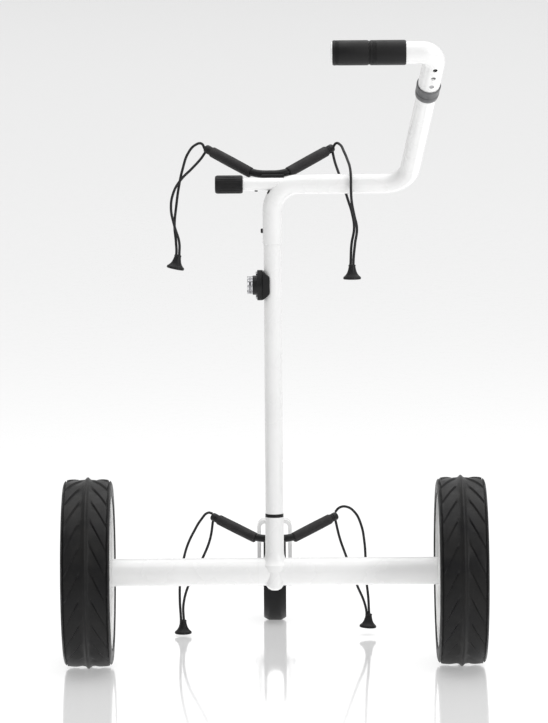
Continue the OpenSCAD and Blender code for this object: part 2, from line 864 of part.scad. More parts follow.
module speed_dial() {
    color(black) grip_sleeve(grip_x + gap, grip_x + dial_len, handle_d + 2 * gap);
}

module grip_end_cap() {
    color(white) in_handle_plane() translate([grip_x - corner_x, 0, grip_in_handle_z]) rotate([0, -90, 0]) {
        translate([0, 0, -10]) cylinder(d = handle_bore - 0.1, h = 10);
        cylinder(d = handle_d, h = 2);
        translate([0, 0, 2]) cylinder(d1 = handle_d, d2 = handle_d - 3, h = 1);
    }
}

// ---------- Elastic loops ----------

function unit(v) = v / norm(v);
function along(route, i) = unit(route[min(i + 1, len(route) - 1)] - route[max(i - 1, 0)]);
function sideways(t) = unit(cross(t, [0, 1, 0]));
function side_angle(k) = k * 360 / cord_sides;
function ring(route, i) = let(t = along(route, i), u = sideways(t), w = cross(t, u))
    [for (k = [0 : cord_sides - 1])
        route[i] + cord_d / 2 * (cos(side_angle(k)) * u + sin(side_angle(k)) * w)];

module cord(route) {
    last = len(route) - 1;
    points = [for (i = [0 : last], p = ring(route, i)) p];
    walls = [for (i = [0 : last - 1], k = [0 : cord_sides - 1])
        let(a = i * cord_sides + k, b = i * cord_sides + (k + 1) % cord_sides)
        for (f = [[a, a + cord_sides, b], [b, a + cord_sides, b + cord_sides]]) f];
    ends = [[for (k = [0 : cord_sides - 1]) k], [for (k = [cord_sides - 1 : -1 : 0]) last * cord_sides + k]];
    color(black) on_cart() polyhedron(points, concat(walls, ends));
}

// A bell-shaped toggle about the middle of its rim, tipped by an angle about Y
module toggle(place, tip) {
    color(black) on_cart() translate(place) rotate([0, tip, 0]) rotate_extrude() polygon([
        [0, 0], [toggle_r - 0.8, 0], [toggle_r, 1], [toggle_r, 3], [9, 7.5], [6, 13],
        [5, 18], [4.6, toggle_h - 1], [3.6, toggle_h], [0, toggle_h]
    ]);
}

hub_tee();
tee_seal();
axle_tube(-1);  // left_axle_tube
axle_tube(1);  // right_axle_tube
motor(-1);  // left_motor
motor(1);  // right_motor
gearbox(-1);  // left_gearbox
gearbox(1);  // right_gearbox
axle_cap(-1);  // left_axle_cap
axle_cap(1);  // right_axle_cap
shaft_bearings();
drive_shaft(-1);  // left_drive_shaft
drive_shaft(1);  // right_drive_shaft
rim(-1);  // left_rim
rim(1);  // right_rim
main_tyre(-1);  // left_tyre
main_tyre(1);  // right_tyre
release_button(-1);  // left_release_button
release_button(1);  // right_release_button
front_beam();
front_fork();
front_tyre();
front_rim();
front_bearings();
front_axle_bolt();
base_screws();
lower_support_bar();
pad(lower_mid, lower_link, lower_angle, lower_arm, -1);  // lower_left_pad
pad(lower_mid, lower_link, lower_angle, lower_arm, 1);  // lower_right_pad
lower_cord_ends();
mast();
socket_saddle();
socket_housing();
socket_shell();
socket_insert();
mast_screws();
snap_button();
snap_spring();
upper_frame_tube();
stub_tube();
stub_grip();
upper_support_bar();
pad(upper_mid, upper_link, upper_angle, upper_arm, -1);  // upper_left_pad
pad(upper_mid, upper_link, upper_angle, upper_arm, 1);  // upper_right_pad
upper_cord_ends();
handle_detent();
handle_collar();
collar_screw();
handle_tube();
fixed_grip();
speed_dial();
grip_end_cap();
cord(upper_left_route);  // upper_left_cord
cord(upper_right_route);  // upper_right_cord
cord(lower_left_route);  // lower_left_cord
cord(lower_right_route);  // lower_right_cord
toggle([-148.5, 75, 600.5], 12);  // upper_left_toggle
toggle([119.5, 1, 589], 0);  // upper_right_toggle
toggle([-146, 278, 4], 0);  // lower_left_toggle
toggle([147, 278, 12], 4);  // lower_right_toggle
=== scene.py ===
"""Visual model of a three-wheeled powered golf cart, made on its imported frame.

Shapes are drawn in millimetres about the ground point under the drive axle, with X to the right, Y forward and
Z up, and CART brings them into the frame's metres.
"""

import math

import bmesh
import bpy
from mathutils import Matrix, Vector


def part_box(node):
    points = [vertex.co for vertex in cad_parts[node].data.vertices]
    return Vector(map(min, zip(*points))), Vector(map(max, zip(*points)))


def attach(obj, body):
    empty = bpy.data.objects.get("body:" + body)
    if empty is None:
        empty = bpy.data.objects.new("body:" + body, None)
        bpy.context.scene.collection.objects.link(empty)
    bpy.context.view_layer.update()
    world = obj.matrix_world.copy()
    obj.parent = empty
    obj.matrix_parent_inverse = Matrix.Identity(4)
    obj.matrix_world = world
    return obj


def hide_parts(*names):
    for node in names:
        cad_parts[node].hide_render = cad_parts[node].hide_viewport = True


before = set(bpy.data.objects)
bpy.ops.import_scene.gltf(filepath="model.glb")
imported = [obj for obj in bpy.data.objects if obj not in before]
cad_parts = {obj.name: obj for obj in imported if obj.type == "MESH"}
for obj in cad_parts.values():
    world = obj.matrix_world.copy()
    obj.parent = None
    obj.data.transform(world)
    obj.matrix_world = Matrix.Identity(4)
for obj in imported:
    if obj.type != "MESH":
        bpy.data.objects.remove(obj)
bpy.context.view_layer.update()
scene = bpy.context.scene

# ---------- Places taken from the frame, in millimetres ----------

MM = 0.001
AXLE_Y = sum(corner.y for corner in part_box("left_tyre")) / 2
CART = Matrix.Translation((0, AXLE_Y, 0)) @ Matrix.Scale(MM, 4)
TO_CART = CART.inverted()


def low(node):
    return TO_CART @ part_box(node)[0]


def high(node):
    return TO_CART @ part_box(node)[1]


def middle(node):
    return (low(node) + high(node)) / 2


WHEEL = middle("right_tyre")
FRONT = middle("front_tyre")
TYRE_R = high("right_tyre").z - WHEEL.z
HALF_TYRE = high("right_tyre").x - WHEEL.x
RIB_DROP = 4.5
BEAD_R = TYRE_R - 24
RIM_HALF = HALF_TYRE - 3.5
AXLE_R = high("left_axle_tube").z - WHEEL.z
TUBE_END = -low("left_axle_tube").x
SLEEVE_TOP = low("tee_seal").z
SLEEVE_R = 14
MAST_R = high("mast").x
MAST_LOW = high("tee_seal").z
MAST_TOP = high("mast").z
SPIGOT_LOW = low("mast").z
SPIGOT_R = 11.6
FRAME_R = 14.75
FRAME_LOW = low("upper_frame_tube").z
LEVEL_Z = middle("stub_tube").z
CORNER_X = 202
BEND_R = 40
LEAN = 47
TURN = 83
HANDLE_LEN = (middle("fixed_grip").z - LEVEL_Z) / (math.cos(math.radians(LEAN)) * math.sin(math.radians(TURN)))
HANDLE_R = 16.25
GRIP_R = 18.25
SNAP = middle("snap_button")
SOCKET = middle("socket_shell")
SOCKET_OUT = low("socket_shell").x
POST = middle("base_screws")
POST_Y = 327
BEAM_R = 13.5
POST_LOW = low("front_beam").z
FORK_TOP = high("front_fork").z
FORK_OUT = high("front_fork").x
FORK_WALL = 6
TILT = 35


def wheel_frame(side):
    """About a main wheel's middle, with Z along the axle, outwards."""
    return Matrix.Translation((side * WHEEL.x, 0, WHEEL.z)) @ Matrix.Rotation(side * math.pi / 2, 4, "Y")


def along_x(point):
    """At a point, with Z to the cart's right."""
    return Matrix.Translation(point) @ Matrix.Rotation(math.pi / 2, 4, "Y")


def along_y(point):
    """At a point, with Z to the cart's front."""
    return Matrix.Translation(point) @ Matrix.Rotation(-math.pi / 2, 4, "X")


HANDLE_PLANE = Matrix.Translation((CORNER_X, 0, LEVEL_Z)) @ Matrix.Rotation(math.radians(LEAN), 4, "X")
HANDLE_AXIS = HANDLE_PLANE @ Matrix.Rotation(math.radians(90 - TURN), 4, "Y")
GRIP_UP = HANDLE_LEN * math.sin(math.radians(TURN))
GRIP_AXIS = HANDLE_PLANE @ Matrix.Translation((-CORNER_X, 0, GRIP_UP)) @ Matrix.Rotation(math.pi / 2, 4, "Y")

# ---------- Camera ----------

DISTANCE = 6200
EYE_X = 1
EYE_HEIGHT = 1100
PITCH = 5.845
ROLL = 0.4
LENS = 205.7


def set_camera():
    eye = bpy.data.cameras.new("camera")
    eye.lens = LENS
    eye.sensor_width = 36
    eye.clip_end = 1000
    camera = bpy.data.objects.new("camera", eye)
    scene.collection.objects.link(camera)
    place = Matrix.Translation(CART @ Vector((EYE_X, -DISTANCE, EYE_HEIGHT)))
    aim = Matrix.Rotation(math.radians(90 - PITCH), 4, "X") @ Matrix.Rotation(math.radians(-ROLL), 4, "Z")
    camera.matrix_world = place @ aim
    scene.camera = camera


set_camera()

# ---------- Shader groups ----------


def new_group(name, inputs, outputs):
    group = bpy.data.node_groups.new(name, "ShaderNodeTree")
    for label, value in inputs.items():
        group.interface.new_socket(label, in_out="INPUT", socket_type="NodeSocketFloat").default_value = value
    for label in outputs:
        group.interface.new_socket(label, in_out="OUTPUT", socket_type="NodeSocketFloat")
    return group, group.nodes.new("NodeGroupInput"), group.nodes.new("NodeGroupOutput")


def add(tree, kind, **settings):
    """A new node, with properties set by name and input sockets by position (in_0=...)."""
    node = tree.nodes.new(kind)
    for key, value in settings.items():
        if key.startswith("in_"):
            socket = node.inputs[int(key[3:])]
            if hasattr(value, "is_output"):
                tree.links.new(value, socket)
            else:
                socket.default_value = value
        else:
            setattr(node, key, value)
    return node


def maths(tree, operation, a, b=0.0, c=0.0):
    return add(tree, "ShaderNodeMath", operation=operation, in_0=a, in_1=b, in_2=c).outputs[0]


def noise(tree, vector, scale, detail=4.0):
    node = add(tree, "ShaderNodeTexNoise")
    tree.links.new(vector, node.inputs["Vector"])
    node.inputs["Detail"].default_value = detail
    if hasattr(scale, "is_output"):
        tree.links.new(scale, node.inputs["Scale"])
    else:
        node.inputs["Scale"].default_value = scale
    return node.outputs["Fac"]


def spread(tree, value, start, end, out_start=0.0, out_end=1.0):
    node = add(tree, "ShaderNodeMapRange", interpolation_type="SMOOTHSTEP")
    for index, item in enumerate((value, start, end, out_start, out_end)):
        if hasattr(item, "is_output"):
            tree.links.new(item, node.inputs[index])
        else:
            node.inputs[index].default_value = item
    return node.outputs[0]


def make_grain():
    """Fine pebbled grain: its height, and a slower patchy mask."""
    group, entry, leave = new_group("fine_grain", {"Scale": 900.0}, ["Height", "Patches"])
    place = add(group, "ShaderNodeTexCoord").outputs["Object"]
    fine = noise(group, place, entry.outputs["Scale"], 3.0)
    cells = add(group, "ShaderNodeTexVoronoi", feature="SMOOTH_F1")
    group.links.new(place, cells.inputs["Vector"])
    group.links.new(entry.outputs["Scale"], cells.inputs["Scale"])
    height = maths(group, "MULTIPLY_ADD", cells.outputs["Distance"], 0.6, fine)
    patches = spread(group, noise(group, place, 22.0, 5.0), 0.38, 0.62)
    group.links.new(height, leave.inputs["Height"])
    group.links.new(patches, leave.inputs["Patches"])
    return group


def make_dust():
    """Dust that settles on surfaces that face up."""
    group, entry, leave = new_group("settled_dust", {"Amount": 0.2, "Scale": 60.0}, ["Mask"])
    place = add(group, "ShaderNodeTexCoord").outputs["Object"]
    up = add(group, "ShaderNodeSeparateXYZ", in_0=add(group, "ShaderNodeNewGeometry").outputs["Normal"]).outputs["Z"]
    facing = spread(group, up, -0.2, 1.0, 0.25, 1.0)
    speckle = spread(group, noise(group, place, entry.outputs["Scale"], 6.0), 0.42, 0.72)
    mask = maths(group, "MULTIPLY", facing, speckle)
    mask = maths(group, "MULTIPLY", mask, entry.outputs["Amount"])
    group.links.new(mask, leave.inputs["Mask"])
    return group


def make_edge_rub():
    """Raised edges that hands and the ground have rubbed."""
    group, entry, leave = new_group("edge_rub", {"Amount": 0.3}, ["Mask"])
    place = add(group, "ShaderNodeTexCoord").outputs["Object"]
    raised = spread(group, add(group, "ShaderNodeNewGeometry").outputs["Pointiness"], 0.52, 0.62)
    broken = spread(group, noise(group, place, 140.0, 4.0), 0.35, 0.65, 0.35, 1.0)
    mask = maths(group, "MULTIPLY", raised, broken)
    mask = maths(group, "MULTIPLY", mask, entry.outputs["Amount"])
    group.links.new(mask, leave.inputs["Mask"])
    return group


def make_braid():
    """The crossed strands of a braided sleeve, on the cord's own UV map."""
    group, entry, leave = new_group("braid", {"Along": 120.0, "Around": 6.0}, ["Height"])
    split = add(group, "ShaderNodeSeparateXYZ", in_0=add(group, "ShaderNodeTexCoord").outputs["UV"])
    along = maths(group, "MULTIPLY", split.outputs["X"], entry.outputs["Along"])
    around = maths(group, "MULTIPLY", split.outputs["Y"], entry.outputs["Around"])
    one = maths(group, "PINGPONG", maths(group, "ADD", along, around), 0.5)
    other = maths(group, "PINGPONG", maths(group, "SUBTRACT", along, around), 0.5)
    group.links.new(maths(group, "MAXIMUM", one, other), leave.inputs["Height"])
    return group


GRAIN = make_grain()
DUST = make_dust()
RUB = make_edge_rub()
BRAID = make_braid()

# ---------- Materials ----------


def use(tree, group, **values):
    node = tree.nodes.new("ShaderNodeGroup")
    node.node_tree = group
    for label, value in values.items():
        node.inputs[label].default_value = value
    return node


def blend_colour(tree, mask, under, over):
    node = add(tree, "ShaderNodeMix", data_type="RGBA")
    tree.links.new(mask, node.inputs["Factor"])
    for socket, value in ((node.inputs["A"], under), (node.inputs["B"], over)):
        if hasattr(value, "is_output"):
            tree.links.new(value, socket)
        else:
            socket.default_value = (*value, 1)
    return node.outputs["Result"]


def make_finish(name, tone, patch_tone, rough, grain, depth, dust=0.0, rub=0.0, rub_tone=None, braid=False, **shader):
    """A material with patchy tone, grain, settled dust and rubbed edges. rough is (in the patches, outside them)."""
    material = bpy.data.materials.new(name)
    material.use_nodes = True
    tree = material.node_tree
    surface = tree.nodes["Principled BSDF"]
    grained = use(tree, GRAIN, Scale=grain)
    colour = blend_colour(tree, grained.outputs["Patches"], tone, patch_tone)
    if dust:
        colour = blend_colour(tree, use(tree, DUST, Amount=dust).outputs["Mask"], colour, DUST_TONE)
    if rub:
        colour = blend_colour(tree, use(tree, RUB, Amount=rub).outputs["Mask"], colour, rub_tone)
    tree.links.new(colour, surface.inputs["Base Color"])
    gloss = spread(tree, grained.outputs["Patches"], 0.0, 1.0, rough[0], rough[1])
    tree.links.new(gloss, surface.inputs["Roughness"])
    bump = add(tree, "ShaderNodeBump")
    bump.inputs["Strength"].default_value = 0.6
    bump.inputs["Distance"].default_value = depth * MM
    height = grained.outputs["Height"]
    if braid:
        height = maths(tree, "MULTIPLY_ADD", use(tree, BRAID).outputs["Height"], 2.0, height)
    tree.links.new(height, bump.inputs["Height"])
    tree.links.new(bump.outputs["Normal"], surface.inputs["Normal"])
    for label, value in shader.items():
        surface.inputs[label.replace("_", " ").title().replace("Ior", "IOR")].default_value = value
    return material


DUST_TONE = (0.30, 0.28, 0.26)
FINISHES = {
    "white_paint": make_finish(
        "white_powder_coat", (0.74, 0.74, 0.738), (0.72, 0.72, 0.718), (0.22, 0.28), 700, 0.02,
        dust=0.05, coat_weight=0.35, coat_roughness=0.08),
    "white_rim": make_finish(
        "white_moulded_rim", (0.80, 0.80, 0.795), (0.76, 0.76, 0.755), (0.32, 0.42), 1100, 0.03,
        dust=0.10, specular_ior_level=0.5),
    "tyre_rubber": make_finish(
        "tyre_rubber", (0.0065, 0.0065, 0.007), (0.010, 0.0098, 0.0097), (0.34, 0.46), 1300, 0.06,
        dust=0.018, rub=0.5, rub_tone=(0.04, 0.04, 0.041), specular_ior_level=0.15),
    "black_plastic": make_finish(
        "black_moulding", (0.0075, 0.0075, 0.008), (0.011, 0.011, 0.0115), (0.32, 0.44), 1600, 0.04,
        dust=0.02, rub=0.35, rub_tone=(0.04, 0.04, 0.04), specular_ior_level=0.18),
    "black_bar": make_finish(
        "black_satin_bar", (0.007, 0.007, 0.0075), (0.010, 0.010, 0.0105), (0.30, 0.38), 900, 0.03,
        dust=0.02, rub=0.3, rub_tone=(0.05, 0.05, 0.05), specular_ior_level=0.18),
    "pad_rubber": make_finish(
        "foam_sleeve", (0.0115, 0.0108, 0.0115), (0.017, 0.0158, 0.0165), (0.60, 0.74), 1500, 0.16,
        dust=0.03, rub=0.3, rub_tone=(0.04, 0.038, 0.038), specular_ior_level=0.3),
    "grip_rubber": make_finish(
        "grip_rubber", (0.006, 0.006, 0.0065), (0.009, 0.0088, 0.009), (0.40, 0.52), 1500, 0.08,
        dust=0.01, rub=0.3, rub_tone=(0.026, 0.024, 0.024), specular_ior_level=0.18),
    "collar_grey": make_finish(
        "grey_collar", (0.055, 0.056, 0.058), (0.075, 0.076, 0.079), (0.28, 0.38), 1400, 0.04,
        dust=0.03, rub=0.4, rub_tone=(0.2, 0.2, 0.21), specular_ior_level=0.5),
    "chrome": make_finish(
        "bright_chrome", (0.42, 0.42, 0.43), (0.36, 0.36, 0.37), (0.14, 0.24), 600, 0.01, metallic=1.0),
    "steel": make_finish(
        "brushed_steel", (0.42, 0.42, 0.43), (0.36, 0.36, 0.37), (0.26, 0.38), 1200, 0.02, metallic=1.0),
    "motor_can": make_finish(
        "motor_can", (0.10, 0.10, 0.11), (0.13, 0.13, 0.14), (0.35, 0.5), 900, 0.03, metallic=0.8),
    "elastic_cord": make_finish(
        "braided_cord", (0.008, 0.008, 0.009), (0.013, 0.013, 0.014), (0.55, 0.7), 1500, 0.10, braid=True,
        specular_ior_level=0.3),
}
SHARP = math.radians(38)

# ---------- Cords: the two ends of each elastic loop go into the arm's end fitting ----------

CORD_D = 4
CORD_ROUTES = {
    "upper_left": [
        (-102, 75, 783), (-107, 76, 791), (-116, 78, 789), (-127, 80, 777), (-136, 81, 752),
        (-142, 81, 725), (-146, 80, 697), (-149, 79, 666), (-147, 78, 641), (-146.5, 76, 624),
        (-149, 75, 610), (-146, 75, 605), (-143, 75, 610), (-142, 75, 624), (-142, 74, 641),
        (-149, 73, 666), (-154, 72, 693), (-150, 71, 717), (-139, 71, 736), (-121, 72, 754),
        (-108, 74, 768), (-101, 75, 778)],
    "upper_right": [
        (93, 74, 784), (97, 71, 790), (103, 61, 789), (109, 41, 779), (114, 18, 767),
        (117, -4, 757), (118, -17, 745), (118, -20, 729), (119, -16, 708), (123, -8, 686),
        (127, -3, 666), (124, -2, 642), (121.5, -1, 614), (122, 0, 600), (119.5, 0, 595),
        (117, 0, 600), (117.5, 2, 614), (119, 4, 642), (123, 6, 666), (120, 10, 688),
        (114, 19, 708), (108, 30, 727), (101, 46, 746), (95, 62, 764), (92, 73, 778)],
    "lower_left": [
        (-98, 276, 196), (-105, 278, 197), (-116, 280, 186), (-127, 281, 168), (-138, 281, 145),
        (-145, 281, 120), (-150, 281, 90), (-151, 280, 58), (-149.5, 279, 28), (-149, 278, 15),
        (-146.5, 278, 10), (-144, 278, 15), (-145, 277, 28), (-145, 275, 52), (-136, 274, 84),
        (-124, 273, 107), (-112, 273, 130), (-102, 274, 156), (-97, 276, 186)],
    "lower_right": [
        (96, 276, 197), (103, 277, 204), (114, 279, 205), (127, 281, 196), (137, 281, 176),
        (142, 281, 150), (144, 281, 120), (145, 280, 89), (148, 279, 58), (149, 278, 36),
        (150, 278, 23), (147.5, 278, 18), (145, 278, 23), (145, 277, 36), (141, 275, 54),
        (131, 274, 78), (122, 273, 102), (113, 273, 127), (103, 274, 156), (96, 276, 186)],
}


def make_cord(loop, body):
    route = [CART @ Vector(point) for point in CORD_ROUTES[loop]]
    curve = bpy.data.curves.new(loop + "_elastic", "CURVE")
    curve.dimensions = "3D"
    curve.bevel_depth = CORD_D / 2 * MM
    curve.bevel_resolution = 5
    curve.resolution_u = 8
    line = curve.splines.new("BEZIER")
    line.bezier_points.add(len(route) - 1)
    for knot, point in zip(line.bezier_points, route):
        knot.co = point
        knot.handle_left_type = "AUTO"
        knot.handle_right_type = "AUTO"
    curve.materials.append(FINISHES["elastic_cord"])
    cord = bpy.data.objects.new(loop + "_elastic", curve)
    scene.collection.objects.link(cord)
    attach(cord, body)
    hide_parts(loop + "_cord")
    return cord, route


# ---------- Making pieces ----------


def finish_piece(name, bm, at, body, slot, stands_for=(), edge=0.0, rounds=2):
    """Puts a shape drawn in millimetres in its place, and gives it its finish, its rounded edges and its body."""
    bmesh.ops.transform(bm, matrix=CART @ at, verts=bm.verts)
    bmesh.ops.remove_doubles(bm, verts=bm.verts, dist=MM / 1000)
    bmesh.ops.recalc_face_normals(bm, faces=bm.faces)
    mesh = bpy.data.meshes.new(name)
    bm.to_mesh(mesh)
    bm.free()
    mesh.shade_smooth()
    piece = bpy.data.objects.new(name, mesh)
    scene.collection.objects.link(piece)
    mesh.materials.append(FINISHES[slot])
    if edge:
        round_edges(piece, edge, rounds)
    else:
        mesh.set_sharp_from_angle(angle=SHARP)
    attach(piece, body)
    if stands_for:
        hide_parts(*stands_for)
    return piece


def round_edges(piece, edge, rounds=2):
    bevel = piece.modifiers.new("rounded edges", "BEVEL")
    bevel.width = edge * MM
    bevel.segments = rounds
    bevel.limit_method = "ANGLE"
    bevel.angle_limit = SHARP
    bevel.harden_normals = True


def carve(piece, cutters):
    """Cuts closed shapes, given in millimetres, out of a piece for good."""
    tools = []
    for number, bm in enumerate(cutters):
        bmesh.ops.transform(bm, matrix=CART, verts=bm.verts)
        bmesh.ops.remove_doubles(bm, verts=bm.verts, dist=MM / 1000)
        bmesh.ops.recalc_face_normals(bm, faces=bm.faces)
        mesh = bpy.data.meshes.new("cutter")
        bm.to_mesh(mesh)
        bm.free()
        tool = bpy.data.objects.new("cutter", mesh)
        scene.collection.objects.link(tool)
        cut = piece.modifiers.new("cut", "BOOLEAN")
        cut.object = tool
        cut.solver = "EXACT"
        cut.use_self = True
        piece.modifiers.move(len(piece.modifiers) - 1, number)
        tools.append(tool)
    kept = [m for m in piece.modifiers if m.type != "BOOLEAN"]
    for modifier in kept:
        modifier.show_viewport = False
    bpy.context.view_layer.update()
    carved = bpy.data.meshes.new_from_object(piece.evaluated_get(bpy.context.evaluated_depsgraph_get()))
    for modifier in [m for m in piece.modifiers if m.type == "BOOLEAN"]:
        piece.modifiers.remove(modifier)
    for modifier in kept:
        modifier.show_viewport = True
    piece.data = carved
    for tool in tools:
        bpy.data.objects.remove(tool)


def lathe(profile, steps=72, ring=True, bm=None, at=None):
    """Turns a profile of (radius, height) about Z. A ring's profile closes on itself; otherwise its ends lie on Z."""
    bm = bm or bmesh.new()
    verts = [bm.verts.new((radius, 0, height)) for radius, height in profile]
    pairs = list(zip(verts, verts[1:]))
    if ring:
        pairs.append((verts[-1], verts[0]))
    edges = [bm.edges.new(pair) for pair in pairs]
    made = set(bm.verts) - set(verts)
    bmesh.ops.spin(bm, geom=verts + edges, cent=(0, 0, 0), axis=(0, 0, 1), angle=math.tau, steps=steps,
                   use_merge=True, use_duplicate=False)
    if at is not None:
        fresh = [v for v in bm.verts if v not in made]
        bmesh.ops.transform(bm, matrix=at, verts=fresh)
    return bm


def rod(radius, length, dome=0.0, steps=48, bm=None, at=None):
    """A round bar from the origin up Z."""
    return lathe([(0, 0), (radius, 0), (radius, length), (0, length)], steps, False, bm, at)


def round_section(radius, sides=48):
    def draw(bm, at):
        made = bmesh.ops.create_circle(bm, segments=sides, radius=radius)
        bmesh.ops.transform(bm, matrix=at, verts=made["verts"])
        return made["verts"]
    return draw


def flat_section(width, thickness):
    """A flat bar's section: its thickness lies in the plane that the bar bends in."""
    def draw(bm, at):
        corners = [(-thickness / 2, -width / 2), (thickness / 2, -width / 2),
                   (thickness / 2, width / 2), (-thickness / 2, width / 2)]
        verts = [bm.verts.new(at @ Vector((x, y, 0))) for x, y in corners]
        for pair in zip(verts, verts[1:] + verts[:1]):
            bm.edges.new(pair)
        return verts
    return draw


def run(section, at, moves, capped=True, bm=None):
    """Sweeps a section along a bent run. Moves are ("go", length), ("roll", angle) and ("bend", radius, angle),
    where a bend turns towards the run's own +X for a positive angle. Returns the shape and the frame at its end."""
    bm = bm or bmesh.new()
    loop = section(bm, at)
    first = list(loop)
    edges = [e for e in bm.edges if all(v in loop for v in e.verts)]
    ends = [list(edges)]
    here = at.copy()
    for move in moves:
        if move[0] == "roll":
            here = here @ Matrix.Rotation(math.radians(move[1]), 4, "Z")
            continue
        if move[0] == "go":
            made = bmesh.ops.extrude_edge_only(bm, edges=edges)["geom"]
            fresh = [g for g in made if isinstance(g, bmesh.types.BMVert)]
            step = here.to_3x3() @ Vector((0, 0, move[1]))
            bmesh.ops.translate(bm, vec=step, verts=fresh)
            here = here @ Matrix.Translation((0, 0, move[1]))
            edges = [g for g in made if isinstance(g, bmesh.types.BMEdge) and all(v in fresh for v in g.verts)]
        if move[0] == "bend":
            offset = math.copysign(move[1], move[2])
            centre = here @ Vector((offset, 0, 0))
            axis = here.to_3x3() @ Vector((0, 1, 0))
            geom = edges + list({v for e in edges for v in e.verts})
            steps = max(3, round(abs(move[2]) / 6))
            made = bmesh.ops.spin(bm, geom=geom, cent=centre, axis=axis, angle=math.radians(move[2]), steps=steps,
                                  use_merge=False, use_duplicate=False)["geom_last"]
            edges = [g for g in made if isinstance(g, bmesh.types.BMEdge)]
            turned = Matrix.Rotation(math.radians(move[2]), 4, "Y")
            here = here @ Matrix.Translation((offset, 0, 0)) @ turned @ Matrix.Translation((-offset, 0, 0))
    if capped:
        bmesh.ops.contextual_create(bm, geom=first)
        bmesh.ops.contextual_create(bm, geom=list({v for e in edges for v in e.verts}))
    return bm, here


def screw_head(bm, at, radius, height):
    """A pan head with a round socket in it."""
    return lathe([(0, -1), (radius, -1), (radius, height * 0.4), (radius * 0.85, height * 0.85), (radius * 0.55, height),
                  (radius * 0.48, height), (radius * 0.45, height * 0.35), (0, height * 0.35)], 32, False, bm, at)


def block(size, centre, bm=None):
    bm = bm or bmesh.new()
    made = bmesh.ops.create_cube(bm, size=1)["verts"]
    bmesh.ops.scale(bm, vec=size, verts=made)
    bmesh.ops.translate(bm, vec=centre, verts=made)
    return bm


def web(hub, rim, low_z, high_z, spokes, window, share, bm=None):
    """A wheel's web between two radii, with one window between each two spokes; share is how much of the turn
    the windows take."""
    cells = 12
    bm = bm or bmesh.new()
    radii = [hub, window[0], (window[0] + window[1]) / 2, window[1], rim]
    verts = [bm.verts.new((radius, 0, low_z)) for radius in radii]
    edges = [bm.edges.new(pair) for pair in zip(verts, verts[1:])]
    before = set(bm.faces)
    bmesh.ops.spin(bm, geom=verts + edges, cent=(0, 0, 0), axis=(0, 0, 1), angle=math.tau, steps=spokes * cells,
                   use_merge=True, use_duplicate=False)
    faces = [f for f in bm.faces if f not in before]
    gone = []
    for face in faces:
        centre = face.calc_center_median()
        turn = (math.atan2(centre.y, centre.x) / math.tau * spokes) % 1
        if window[0] < centre.to_2d().length < window[1] and abs(turn - 0.5) < share / 2:
            gone.append(face)
    bmesh.ops.delete(bm, geom=gone, context="FACES")
    faces = [f for f in bm.faces if f not in before]
    made = bmesh.ops.extrude_face_region(bm, geom=faces, use_keep_orig=True)["geom"]
    bmesh.ops.translate(bm, vec=(0, 0, high_z - low_z), verts=[g for g in made if isinstance(g, bmesh.types.BMVert)])
    return bm


# ---------- Main wheels ----------

LUGS = 22
LUG_CELLS = 8
LUG_HEIGHT = [0.0, 0.35, 0.65, 0.95, 1.2, 1.45, 1.6, -0.5]
LUG_FROM = 5
LUG_TO = 32
LUG_SHEAR = 0.0145


def tyre_profile():
    top = TYRE_R - RIB_DROP
    tread = [(top - 0.2, 31), (top - 0.1, 28), (top - 0.1, 24), (top - 0.2, 20), (top - 0.4, 16), (top - 0.6, 12.5),
             (top - 0.5, 9.5), (top - 0.1, 7.5), (top + 0.8, 5), (top + 2.4, 2.8), (TYRE_R - 0.4, 1.3)]
    wall = [(BEAD_R, RIM_HALF), (BEAD_R - 2.5, RIM_HALF), (BEAD_R - 2.5, HALF_TYRE - 1), (BEAD_R - 1.2, HALF_TYRE),
            (BEAD_R + 2.5, HALF_TYRE), (BEAD_R + 4, HALF_TYRE - 0.8), (BEAD_R + 9, HALF_TYRE - 0.4),
            (top - 6, HALF_TYRE), (top - 3, HALF_TYRE - 1), (top - 1, HALF_TYRE - 2.8)]
    half = wall + tread
    return [(r, -h) for r, h in half] + [(TYRE_R, 0)] + [(r, h) for r, h in reversed(half)]


def make_tyre(side, name, node, body):
    """The tread's lugs step down at slanting lines: every lug rises along the turn and then drops."""
    bm = lathe(tyre_profile(), LUGS * LUG_CELLS)
    for vert in bm.verts:
        radius, height = vert.co.to_2d().length, abs(vert.co.z)
        if radius < TYRE_R - RIB_DROP - 1.5 or not LUG_FROM < height < LUG_TO:
            continue
        turn = math.atan2(vert.co.y, vert.co.x)
        cell = round(turn / math.tau * LUGS * LUG_CELLS) % LUG_CELLS
        cell = cell if side > 0 else (LUG_CELLS - cell) % LUG_CELLS
        fade = min(1, (height - LUG_FROM) / 4, (LUG_TO + 2 - height) / 4)
        radius += LUG_HEIGHT[cell] * max(fade, 0)
        turn += side * LUG_SHEAR * (height - LUG_FROM)
        vert.co.x, vert.co.y = radius * math.cos(turn), radius * math.sin(turn)
    return finish_piece(name, bm, wheel_frame(side), body, "tyre_rubber", [node])


